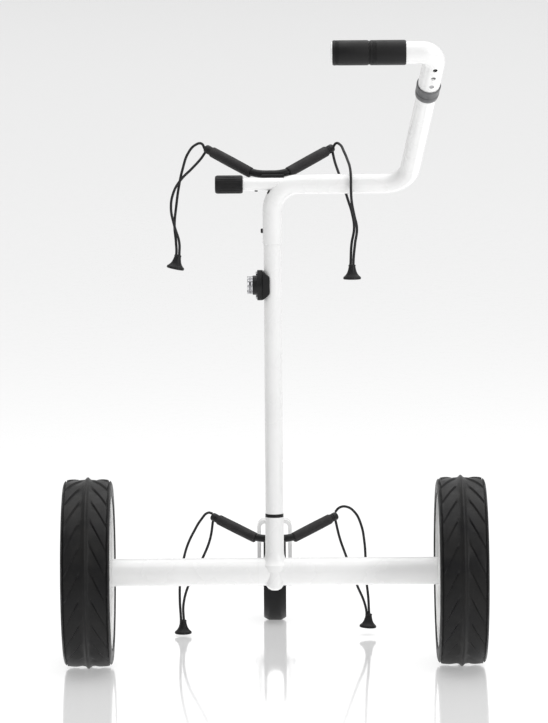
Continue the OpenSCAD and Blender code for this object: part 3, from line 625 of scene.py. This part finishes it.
def make_rim(side, name, node, body):
    barrel = BEAD_R - 4
    lip = RIM_HALF + 1.5
    bm = lathe([
        (BEAD_R, -RIM_HALF), (BEAD_R, RIM_HALF), (BEAD_R - 2.6, lip), (barrel - 0.4, lip), (barrel - 1.6, RIM_HALF - 1.5),
        (barrel, RIM_HALF - 6), (barrel, 22), (barrel - 2, 20), (barrel - 2, 8), (barrel, 6), (barrel, -RIM_HALF + 6),
        (barrel - 1.6, -RIM_HALF + 1.5), (barrel - 0.4, -lip), (BEAD_R - 2.6, -lip)], 96)
    web(18, barrel - 1, 8, 20, 6, (34, 102), 0.66, bm)
    lathe([(6.4, -24), (17, -24), (19, -22), (19, 8), (22, 8.5), (22, 19.5), (19, 20), (18.5, 28), (17, 29.5), (10.6, 29.5),
           (10, 28.5), (10, 18), (6.4, 18)], 72, True, bm)
    rim = finish_piece(name, bm, wheel_frame(side), body, "white_rim", [node], 1.0)
    pin = block((32, 5, 8), (0, 0, -22.5))
    bmesh.ops.transform(pin, matrix=wheel_frame(side), verts=pin.verts)
    carve(rim, [pin])
    return rim


for side, hand in ((-1, "left"), (1, "right")):
    make_tyre(side, f"main_tyre_{hand}", f"{hand}_tyre", f"{hand}_wheel")
    make_rim(side, f"main_rim_{hand}", f"{hand}_rim", f"{hand}_wheel")

# ---------- Axle, tee and mast ----------


def make_axle():
    cap_in = TUBE_END - 20
    for side, hand in ((-1, "left"), (1, "right")):
        at = Matrix.Translation((0, 0, WHEEL.z)) @ Matrix.Rotation(side * math.pi / 2, 4, "Y")
        bore = AXLE_R - 1.8
        tube = lathe([(bore, 25), (AXLE_R, 25), (AXLE_R, TUBE_END), (bore, TUBE_END)], 72)
        finish_piece(f"axle_tube_skin_{hand}", tube, at, "base", "white_paint", [f"{hand}_axle_tube"])
        end = TUBE_END + 4
        cap = lathe([(bore - 0.1, cap_in), (bore - 0.1, TUBE_END), (AXLE_R - 0.1, TUBE_END + 0.1),
                     (AXLE_R - 1.6, end), (10.5, end), (9.5, end - 1.5), (7.6, end - 1.5), (7.6, cap_in)], 72)
        finish_piece(f"axle_end_{hand}", cap, at, "base", "white_paint", [f"{hand}_axle_cap"], 0.5)
        # A black ring at the tube's end, put where the gap before the hub shows dark.
        lip = lathe([(8.4, end - 1.5), (11.6, end - 1.5), (11.8, end + 1.5), (11, end + 2.5), (8.6, end + 2.8)], 56)
        finish_piece(f"axle_black_ring_{hand}", lip, at, "base", "black_plastic")


def make_tee():
    """The tee's body, with its sleeve's foot flaring out on the axle tube."""
    bm = bmesh.new()
    turned = Matrix.Translation((0, 0, WHEEL.z)) @ Matrix.Rotation(math.pi / 2, 4, "Y")
    bore = SPIGOT_R + 0.3
    inside = AXLE_R - 1.9
    lathe([(0, -50), (inside, -50), (inside, -25), (AXLE_R, -25), (AXLE_R, 25), (inside, 25), (inside, 50), (0, 50)],
          72, False, bm, turned)
    foot = WHEEL.z + 2
    flare = [(SLEEVE_R + 9 * (1 - t) ** 2.4, WHEEL.z + 12 + 20 * t) for t in (0, 0.12, 0.25, 0.4, 0.55, 0.75, 1)]
    lathe([(bore, foot), (SLEEVE_R + 9, foot)] + flare + [(SLEEVE_R, SLEEVE_TOP), (bore, SLEEVE_TOP)], 72, True, bm)
    column = [(0, 118), (6, 118.6), (10.2, 121), (12.8, 125), (13.6, 130), (13.6, 150), (12.4, 156), (8, 162), (0, 164)]
    lathe(column, 64, False, bm, Matrix.Translation((0, -9.4, 0)))
    boss = along_y((0, 0, WHEEL.z))
    lathe([(BEAM_R + 0.1, 10), (BEAM_R + 5, 10), (BEAM_R + 4, 22), (BEAM_R + 2.5, 30), (BEAM_R + 2.5, 44),
           (BEAM_R + 0.1, 44)], 64, True, bm, boss)
    return finish_piece("tee_body", bm, Matrix.Identity(4), "base", "white_paint", ["hub_tee"], 0.2)


def make_mast():
    bore = SPIGOT_R - 2
    bm = lathe([(bore, SPIGOT_LOW), (SPIGOT_R - 1, SPIGOT_LOW), (SPIGOT_R, SPIGOT_LOW + 2), (SPIGOT_R, MAST_LOW),
                (MAST_R, MAST_LOW), (MAST_R, MAST_TOP), (bore, MAST_TOP)], 72)
    finish_piece("mast_skin", bm, Matrix.Identity(4), "mast", "white_paint", ["mast"], 0.5)
    seal = lathe([(SPIGOT_R + 0.1, SLEEVE_TOP), (SLEEVE_R - 0.1, SLEEVE_TOP), (SLEEVE_R - 0.1, SLEEVE_TOP + 2),
                  (SLEEVE_R - 0.7, SLEEVE_TOP + 2.5), (SLEEVE_R - 0.1, SLEEVE_TOP + 3), (SLEEVE_R - 0.2, MAST_LOW),
                  (SPIGOT_R + 0.1, MAST_LOW)], 72)
    finish_piece("seal_ring", seal, Matrix.Identity(4), "base", "black_plastic", ["tee_seal"], 0.25)


make_axle()
make_tee()
make_mast()

# ---------- Upper frame, stub and handle ----------


def make_upper_frame():
    tangent = BEND_R * math.tan(math.radians(TURN / 2))
    at = Matrix.Translation((0, 0, FRAME_LOW))
    bm, _ = run(round_section(FRAME_R, 56), at, [
        ("go", LEVEL_Z - BEND_R - FRAME_LOW), ("bend", BEND_R, 90), ("go", CORNER_X - tangent - BEND_R),
        ("roll", LEAN - 180), ("bend", BEND_R, TURN), ("go", 256 - tangent)])
    finish_piece("upper_frame_skin", bm, Matrix.Identity(4), "mast", "white_paint", ["upper_frame_tube"], 0.6)
    stub = lathe([(0, -69), (9.6, -69), (9.6, 24), (0, 24)], 56, False)
    finish_piece("stub_skin", stub, along_x((0, 0, LEVEL_Z)), "mast", "white_paint", ["stub_tube"], 0.5)
    dark_heads = bmesh.new()
    down = Matrix.Rotation(math.pi, 4, "X")
    screw_head(dark_heads, Matrix.Translation((-24, -1, LEVEL_Z - 9.4)) @ down, 2.6, 1.6)
    # A second black head on the bend's outer side, just under the stub, put where that corner shows dark.
    outer = Matrix.Translation((BEND_R, 0, LEVEL_Z - BEND_R)) @ Matrix.Rotation(math.radians(148 - 90), 4, "Y").inverted()
    screw_head(dark_heads, outer @ Matrix.Translation((0, -5, BEND_R + FRAME_R - 0.9)), 3, 1.4)
    finish_piece("stub_black_heads", dark_heads, Matrix.Identity(4), "mast", "black_plastic")


def make_stub_grip():
    """A short grip with shallow flutes along it."""
    flutes = 20
    inner, outer = low("stub_grip").x, high("stub_grip").x
    length = outer - inner
    bm = lathe([(0, 0), (9, 0), (12.2, 0.6), (13.4, 2.2), (13.75, 4), (13.75, length * 0.35), (13.75, length * 0.65),
                (13.75, length - 4), (13.5, length - 2), (12.6, length - 0.5), (11.6, length), (10.1, length), (10.1, 16),
                (0, 16)], flutes * 5, False)
    for vert in bm.verts:
        radius = vert.co.to_2d().length
        if radius > 13.7:
            cell = round(math.atan2(vert.co.y, vert.co.x) / math.tau * flutes * 5) % 5
            vert.co.xy = vert.co.xy * (1 - (0.045 if cell == 0 else 0.0))
    finish_piece("stub_grip_skin", bm, along_x((inner, 0, LEVEL_Z)), "mast", "grip_rubber", ["stub_grip"])


def make_handle():
    bend_r = 20
    start = 208
    turn = 180 - TURN
    tangent = bend_r * math.tan(math.radians(turn / 2))
    reach = HANDLE_LEN * math.cos(math.radians(TURN)) - tangent - (low("speed_dial").x - CORNER_X)
    at = HANDLE_AXIS @ Matrix.Translation((0, 0, start))
    bm, _ = run(round_section(HANDLE_R, 56), at, [
        ("go", HANDLE_LEN - tangent - start), ("bend", bend_r, -turn), ("go", reach)], False)
    bmesh.ops.recalc_face_normals(bm, faces=bm.faces)
    bmesh.ops.solidify(bm, geom=bm.faces, thickness=1.25)
    handle = finish_piece("handle_skin", bm, Matrix.Identity(4), "handle", "white_paint", ["handle_tube"], 0.4)
    holes = []
    for step in range(3):
        out = HANDLE_AXIS @ Matrix.Translation((0, 0, DETENT_AT + HOLE_PITCH * step)) @ DETENT_TURN
        holes.append(rod(3.5, 30, at=out))
    carve(handle, holes)


DETENT_AT = 240
HOLE_PITCH = 18
DETENT_TURN = Matrix.Rotation(math.radians(6), 4, "Z") @ Matrix.Rotation(math.pi / 2, 4, "X")


def make_detent():
    bm = rod(3.3, 9.6, at=HANDLE_AXIS @ Matrix.Translation((0, 0, DETENT_AT)) @ DETENT_TURN @ Matrix.Translation((0, 0, 6)))
    finish_piece("handle_button", bm, Matrix.Identity(4), "mast", "steel", ["handle_detent"], 0.8, 3)


def make_collar():
    bm = lathe([(14.95, 0), (15.8, 0), (16.8, 1.2), (17.4, 5), (17.6, 8), (17.6, 9.5), (17.0, 10), (17.0, 10.8),
                (17.6, 11.3), (17.6, 20), (17.9, 21), (18.1, 24), (17.8, 25), (16.9, 25), (16.35, 22.5), (16.3, 5),
                (14.95, 5)], 96)
    at = HANDLE_AXIS @ Matrix.Translation((0, 0, 203))
    finish_piece("clamp_collar", bm, at, "handle", "collar_grey", ["handle_collar"])


def grip_rings(start, end, bore):
    """A grip sleeve's profile, from start to end along the grip's axis."""
    body = [(bore, start), (GRIP_R - 2, start), (GRIP_R - 0.7, start + 0.5), (GRIP_R, start + 2)]
    rings = []
    for number in range(4):
        at = start + 4 + 1.6 * number
        rings += [(GRIP_R, at), (GRIP_R - 0.35, at + 0.4), (GRIP_R, at + 0.8)]
    far = [(GRIP_R, end - 2), (GRIP_R - 0.7, end - 0.5), (GRIP_R - 2, end), (bore, end)]
    return body + rings + far


def make_grips():
    fixed_low, fixed_high = low("fixed_grip").x, high("fixed_grip").x
    dial_low, dial_high = low("speed_dial").x, high("speed_dial").x
    groove_r = GRIP_R - 1.1
    groove_from = dial_high + 0.05
    groove = [(HANDLE_R, groove_from), (groove_r, groove_from), (groove_r, fixed_low)]
    fixed = lathe(groove + grip_rings(fixed_low, fixed_high, HANDLE_R)[1:], 96)
    finish_piece("palm_grip", fixed, GRIP_AXIS, "handle", "grip_rubber", ["fixed_grip"])
    dial = lathe(grip_rings(dial_low, dial_high, HANDLE_R + 0.3), 96)
    finish_piece("speed_ring", dial, GRIP_AXIS, "dial", "grip_rubber", ["speed_dial"])
    cap_low, cap_high = low("grip_end_cap").x, high("grip_end_cap").x
    cap = lathe([(0, cap_low), (12, cap_low + 0.1), (14.6, cap_low + 0.7), (HANDLE_R - 0.1, cap_low + 1.6),
                 (HANDLE_R - 0.1, cap_low + 3), (14.6, cap_low + 3.2), (14.6, cap_high), (0, cap_high)], 72, False)
    finish_piece("handle_end_cap", cap, GRIP_AXIS, "handle", "white_paint", ["grip_end_cap"])


make_upper_frame()
make_stub_grip()
make_handle()
make_detent()
make_collar()
make_grips()

# ---------- Power socket ----------


def make_socket():
    """The saddle on the mast, the flange with two screw ears, the shell with its thread and the contact insert."""
    outward = Matrix.Translation((-15.5, 0, SOCKET.z)) @ Matrix.Rotation(-math.pi / 2, 4, "Y")
    saddle = block((11, 33, 44), (-10.1, 0, 0))
    for vert in saddle.verts:
        if vert.co.x > -10:
            vert.co.z *= 0.58
    finish_piece("socket_saddle_skin", saddle, Matrix.Translation((0, 0, SOCKET.z)), "mast", "black_plastic",
                 ["socket_saddle"], 1.5, 3)
    plate = bmesh.new()
    for shift, radius in ((0, 15), (16, 7), (-16, 7)):
        bmesh.ops.create_cone(plate, cap_ends=True, segments=40, radius1=radius, radius2=radius, depth=8,
                              matrix=Matrix.Translation((shift, 0, 4)))
    hull = bmesh.ops.convex_hull(plate, input=plate.verts)
    bmesh.ops.delete(plate, geom=[g for g in hull["geom_interior"] if isinstance(g, bmesh.types.BMVert)], context="VERTS")
    bmesh.ops.dissolve_limit(plate, angle_limit=math.radians(2), verts=plate.verts, edges=plate.edges)
    lathe([(11.2, 7), (15.2, 7), (14.8, 9), (14.5, 15), (11.2, 15)], 72, True, plate)
    finish_piece("socket_flange", plate, outward, "mast", "black_plastic", ["socket_housing"], 0.8)
    out = 15
    thread = []
    for number in range(4):
        at = out + 1.2 + 1.3 * number
        thread += [(13.75, at), (13.2, at + 0.5), (13.2, at + 0.8)]
    shell = lathe([(11, out - 1), (13.4, out - 1), (13.4, out + 0.4)] + thread + [(13.75, out + 7), (13.3, out + 8), (11.6, out + 8),
                  (11, out + 7.4)], 96)
    finish_piece("socket_ring", shell, outward, "mast", "chrome", ["socket_shell"])
    insert = lathe([(0, 4), (10.95, 4), (10.95, 12), (9.6, 12.4), (8.8, 11.6), (0, 11.6)], 64, False)
    finish_piece("contact_block", insert, outward, "mast", "collar_grey", ["socket_insert"], 0.2)
    pins = bmesh.new()
    for turn in (90, 210, 330):
        place = outward @ Matrix.Rotation(math.radians(turn), 4, "Z") @ Matrix.Translation((6, 0, 11))
        rod(1.7, 0.9, steps=20, bm=pins, at=place)
    finish_piece("contact_mouths", pins, Matrix.Identity(4), "mast", "steel", (), 0.2)


def make_mast_screws():
    bm = bmesh.new()
    for up in (-18, 18):
        at = Matrix.Translation((-23.5, 0, SOCKET.z + up)) @ Matrix.Rotation(-math.pi / 2, 4, "Y")
        screw_head(bm, at, 3, 2.2)
    for x in (-10, 12):
        at = Matrix.Translation((x, 25.2, LEVEL_Z + 12)) @ Matrix.Rotation(-math.pi / 2, 4, "X")
        screw_head(bm, at, 3, 2.6)
    finish_piece("mast_screw_heads", bm, Matrix.Identity(4), "mast", "steel", ["mast_screws"])


make_socket()
make_mast_screws()

# ---------- Bag supports ----------

ARM_BEND = 46
UPPER = {"mid": (-4, 21, 747), "link": 24, "angle": 41.5, "arm": 97, "pad": 5, "body": "mast"}
LOWER = {"mid": (0, 232, WHEEL.z + 17), "link": 28, "angle": 36.5, "arm": 88, "pad": 2, "body": "base"}
BAR_R = 5
PAD_R = 8


def support_frame(support):
    return Matrix.Translation(support["mid"]) @ Matrix.Rotation(math.radians(TILT), 4, "X")


def arm_frame(support, side):
    """At an arm's root, with Z along the arm."""
    angle = math.radians(support["angle"])
    along = Vector((side * math.cos(angle), math.sin(angle), 0))
    across = Vector((0, 0, 1))
    turned = Matrix((along.cross(across) * -1, across, along)).transposed().to_4x4()
    return support_frame(support) @ Matrix.Translation((side * support["link"], 0, 0)) @ turned


def make_support(name, support, node):
    """The bent bar, a thicker sleeve over its middle and both bends, and a block where it is screwed down."""
    tangent = ARM_BEND * math.tan(math.radians(support["angle"] / 2))
    arm = support["arm"] - 6 - tangent
    start = arm_frame(support, -1) @ Matrix.Translation((0, 0, support["arm"] - 6)) @ Matrix.Rotation(math.pi, 4, "X")
    bend = support["angle"]
    here = support_frame(support).to_3x3() @ Vector((0, 1, 0))
    sign = 1 if (start.to_3x3() @ Vector((1, 0, 0))).dot(here) > 0 else -1
    bm, _ = run(round_section(BAR_R, 32), start, [
        ("go", arm), ("bend", ARM_BEND, sign * bend), ("go", 2 * (support["link"] - tangent)),
        ("bend", ARM_BEND, sign * bend), ("go", arm)])
    inner = start @ Matrix.Translation((0, 0, arm - 3))
    run(round_section(BAR_R + 0.9, 32), inner, [
        ("go", 3), ("bend", ARM_BEND, sign * bend), ("go", 2 * (support["link"] - tangent)),
        ("bend", ARM_BEND, sign * bend), ("go", 3)], True, bm)
    if name == "lower":
        block((24, 16, 14), (0, 232, WHEEL.z + 10), bm)
    else:
        block((34, 13, 11), (1, 13, LEVEL_Z + 8.5), bm)
    finish_piece(name + "_support", bm, Matrix.Identity(4), support["body"], "black_bar", [node], 1.0)


def make_pad(name, support, side, node):
    """A foam sleeve, slightly full in the middle, with rolled ends."""
    start = support["pad"]
    length = support["arm"] - 13 - start
    rolled = [(PAD_R - 2 + 2 * math.sin(math.radians(t)), start + 2 - 2 * math.cos(math.radians(t))) for t in range(0, 91, 18)]
    full = [(PAD_R + 0.25 * math.sin(math.pi * t / 8), start + 2 + (length - 4) * t / 8) for t in range(1, 8)]
    far = [(r, 2 * start + length - h) for r, h in reversed(rolled)]
    bm = lathe([(BAR_R, start)] + rolled + full + far + [(BAR_R, start + length)], 48)
    pad = finish_piece(name, bm, arm_frame(support, side), support["body"], "pad_rubber", [node])


def make_cord_ends(name, support, node):
    bm = bmesh.new()
    for side in (-1, 1):
        at = arm_frame(support, side) @ Matrix.Translation((0, 0, support["arm"] - 13))
        lathe([(0, 0), (5.9, 0), (6.5, 0.8), (6.5, 3), (5.9, 3.6), (5.9, 4.4), (6.5, 5), (6.5, 10.4), (5.6, 12.2), (4, 13), (0, 13)],
              48, False, bm, at)
    finish_piece(name, bm, Matrix.Identity(4), support["body"], "black_plastic", [node])


def make_toggle(name, place, tip, body, node):
    """A bell-shaped hook with a rolled rim, a hollow underside and a neck that the loop goes through."""
    bell = [(13.2, 3.2), (11.6, 4.6), (9.6, 6.6), (8, 9), (6.8, 11.8), (5.9, 15), (5.3, 18), (5.1, 19), (5.5, 19.6),
            (5.5, 20.8), (4.9, 21.7), (4.3, 22)]
    bm = lathe([(0, 3.5), (10.6, 2.6), (12, 0.4), (12.8, 0), (13.4, 0.6), (13.5, 1.8)] + bell + [(3.4, 22), (3, 21), (3, 14), (0, 14)],
               56, False)
    at = Matrix.Translation(place) @ Matrix.Rotation(math.radians(tip), 4, "Y")
    return finish_piece(name, bm, at, body, "black_plastic", [node])


for name, support in (("upper", UPPER), ("lower", LOWER)):
    make_support(name, support, name + "_support_bar")
    make_cord_ends(name + "_end_fittings", support, name + "_cord_ends")
    for side, hand in ((-1, "left"), (1, "right")):
        make_pad(f"{name}_{hand}_sleeve", support, side, f"{name}_{hand}_pad")

TOGGLES = {
    "upper_left": ((-148.5, 75, 600.5), 12, "mast"),
    "upper_right": ((119.5, 1, 589), 0, "mast"),
    "lower_left": ((-146, 278, 4), 0, "base"),
    "lower_right": ((147, 278, 12), 4, "base"),
}
for loop, (place, tip, body) in TOGGLES.items():
    toggle = make_toggle(loop + "_hook", place, tip, body, loop + "_toggle")
    cord, route = make_cord(loop, body)

# ---------- Front ----------


def make_front_wheel():
    half = HALF_FRONT
    top = FRONT_R
    side_wall = [(FRONT_HUB, half - 2), (FRONT_HUB + 1.5, half), (FRONT_HUB + 6, half), (FRONT_HUB + 7, half - 0.6),
                 (FRONT_HUB + 9, half - 0.6), (FRONT_HUB + 10, half), (top - 5, half), (top - 3.8, half - 1.4),
                 (top - 0.8, half - 6.8), (top, half - 9)]
    profile = [(r, -h) for r, h in side_wall] + [(r, h) for r, h in reversed(side_wall)]
    tyre = lathe(profile, 96)
    finish_piece("front_tyre_skin", tyre, along_x(FRONT), "front_wheel", "tyre_rubber", ["front_tyre"])
    rim = lathe([(FRONT_HUB, -half + 2), (FRONT_HUB, half - 2), (FRONT_HUB - 3, half - 1.4), (FRONT_HUB - 5, half - 4),
                 (FRONT_HUB - 5.5, 5), (FRONT_HUB - 5.5, -5), (FRONT_HUB - 5, -half + 4), (FRONT_HUB - 3, -half + 1.4)], 80)
    web(14, FRONT_HUB - 5, -4, 4, 5, (20, 36), 0.6, rim)
    lathe([(7, -19), (13.5, -19), (15, -17.5), (15, -4), (17, -3.5), (17, 3.5), (15, 4), (15, 17.5), (13.5, 19), (11, 19), (11, 12),
           (7, 12), (7, -12), (11, -12), (11, -19)], 56, True, rim)
    finish_piece("front_rim_skin", rim, along_x(FRONT), "front_wheel", "collar_grey", ["front_rim"], 0.6)


HALF_FRONT = high("front_tyre").x
FRONT_R = high("front_tyre").z - FRONT.z
FRONT_HUB = 48


def make_fork():
    """A bent flat bar over the wheel, bosses at the axle, and a tongue back to the post."""
    leg = FORK_OUT - FORK_WALL / 2
    crown = FORK_TOP - FORK_WALL / 2
    corner = 9
    at = Matrix.Translation((-leg, FRONT.y, FRONT.z))
    bm, _ = run(flat_section(26, FORK_WALL), at, [
        ("go", crown - corner - FRONT.z), ("bend", corner, 90), ("go", 2 * (leg - corner)), ("bend", corner, 90),
        ("go", crown - corner - FRONT.z)])
    for side in (-1, 1):
        boss = Matrix.Translation((side * (leg - 3.4), FRONT.y, FRONT.z)) @ Matrix.Rotation(side * math.pi / 2, 4, "Y")
        lathe([(4.1, 0), (13, 0), (13.4, 0.4), (13.4, 6.4), (13, 6.8), (4.1, 6.8)], 56, True, bm, boss)
    tongue_in = POST_Y - BEAM_R
    tongue = block((27, FRONT.y - tongue_in, FORK_WALL), (0, (FRONT.y + tongue_in) / 2, FORK_TOP - FORK_WALL / 2 + 0.1))
    bmesh.ops.bevel(tongue, geom=[e for e in tongue.edges if abs((e.verts[0].co - e.verts[1].co).z) > 1 and
                                  e.verts[0].co.y < POST_Y], offset=12, segments=6, affect="EDGES", profile=0.5, material=-1)
    spare = bpy.data.meshes.new("tongue")
    tongue.to_mesh(spare)
    tongue.free()
    bm.from_mesh(spare)
    bpy.data.meshes.remove(spare)
    finish_piece("fork_skin", bm, Matrix.Identity(4), "base", "white_paint", ["front_fork"], 0.9)


def make_beam():
    """The forward beam, and the post with its domed foot."""
    bm, _ = run(round_section(BEAM_R, 48), along_y((0, 25, WHEEL.z)), [("go", POST_Y - 25)])
    foot = [(BEAM_R * math.sin(math.radians(t)), POST_LOW + BEAM_R - BEAM_R * math.cos(math.radians(t))) for t in range(0, 91, 10)]
    post_top = FORK_TOP - FORK_WALL
    lathe(foot + [(BEAM_R, post_top), (0, post_top)], 48, False, bm, Matrix.Translation((0, POST_Y, 0)))
    finish_piece("beam_skin", bm, Matrix.Identity(4), "base", "white_paint", ["front_beam"], 0.5)


def make_base_screws():
    bm = bmesh.new()
    screw_head(bm, Matrix.Translation((0, POST_Y, FORK_TOP)), 5.5, 3.5)
    screw_head(bm, Matrix.Translation((0, 232, WHEEL.z + 23.5)), 4, 2.5)
    finish_piece("base_screw_heads", bm, Matrix.Identity(4), "base", "steel", ["base_screws"])


make_front_wheel()
make_fork()
make_beam()
make_base_screws()

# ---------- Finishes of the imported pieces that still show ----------

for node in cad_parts.values():
    if not node.hide_render:
        packed = node.material_slots[0].material.name.split(".")[0]
        node.material_slots[0].material = FINISHES[packed]

# ---------- Floor and light ----------


def make_floor():
    bm = bmesh.new()
    bmesh.ops.create_grid(bm, x_segments=8, y_segments=8, size=400)
    mesh = bpy.data.meshes.new("floor")
    bm.to_mesh(mesh)
    bm.free()
    floor = bpy.data.objects.new("floor", mesh)
    scene.collection.objects.link(floor)
    mesh.materials.append(make_finish(
        "studio_floor", (0.78, 0.78, 0.78), (0.77, 0.77, 0.77), (0.10, 0.14), 3, 0.0, specular_ior_level=1.0,
        coat_weight=1.0, coat_ior=1.8, coat_roughness=0.06, emission_color=(1, 1, 1, 1), emission_strength=0.55))


def add_light(name, place, target, size, power):
    lamp = bpy.data.lights.new(name, "AREA")
    lamp.shape = "RECTANGLE"
    lamp.size, lamp.size_y = size
    lamp.energy = power
    light = bpy.data.objects.new(name, lamp)
    scene.collection.objects.link(light)
    light.location = place
    light.rotation_euler = (Vector(target) - Vector(place)).to_track_quat("-Z", "Y").to_euler()


def light_studio():
    world = bpy.data.worlds.new("studio")
    world.use_nodes = True
    sky = world.node_tree.nodes["Background"]
    sky.inputs["Color"].default_value = (1, 1, 1, 1)
    sky.inputs["Strength"].default_value = 0.72
    scene.world = world
    scene.view_settings.view_transform = "Standard"
    add_light("top_softbox", (0.4, 0.4, 3.6), (0, 0.2, 0.3), (4.5, 4.5), 110)
    add_light("right_softbox", (2.6, -2.4, 1.7), (0, 0, 0.4), (1.2, 2.2), 40)


make_floor()
light_studio()
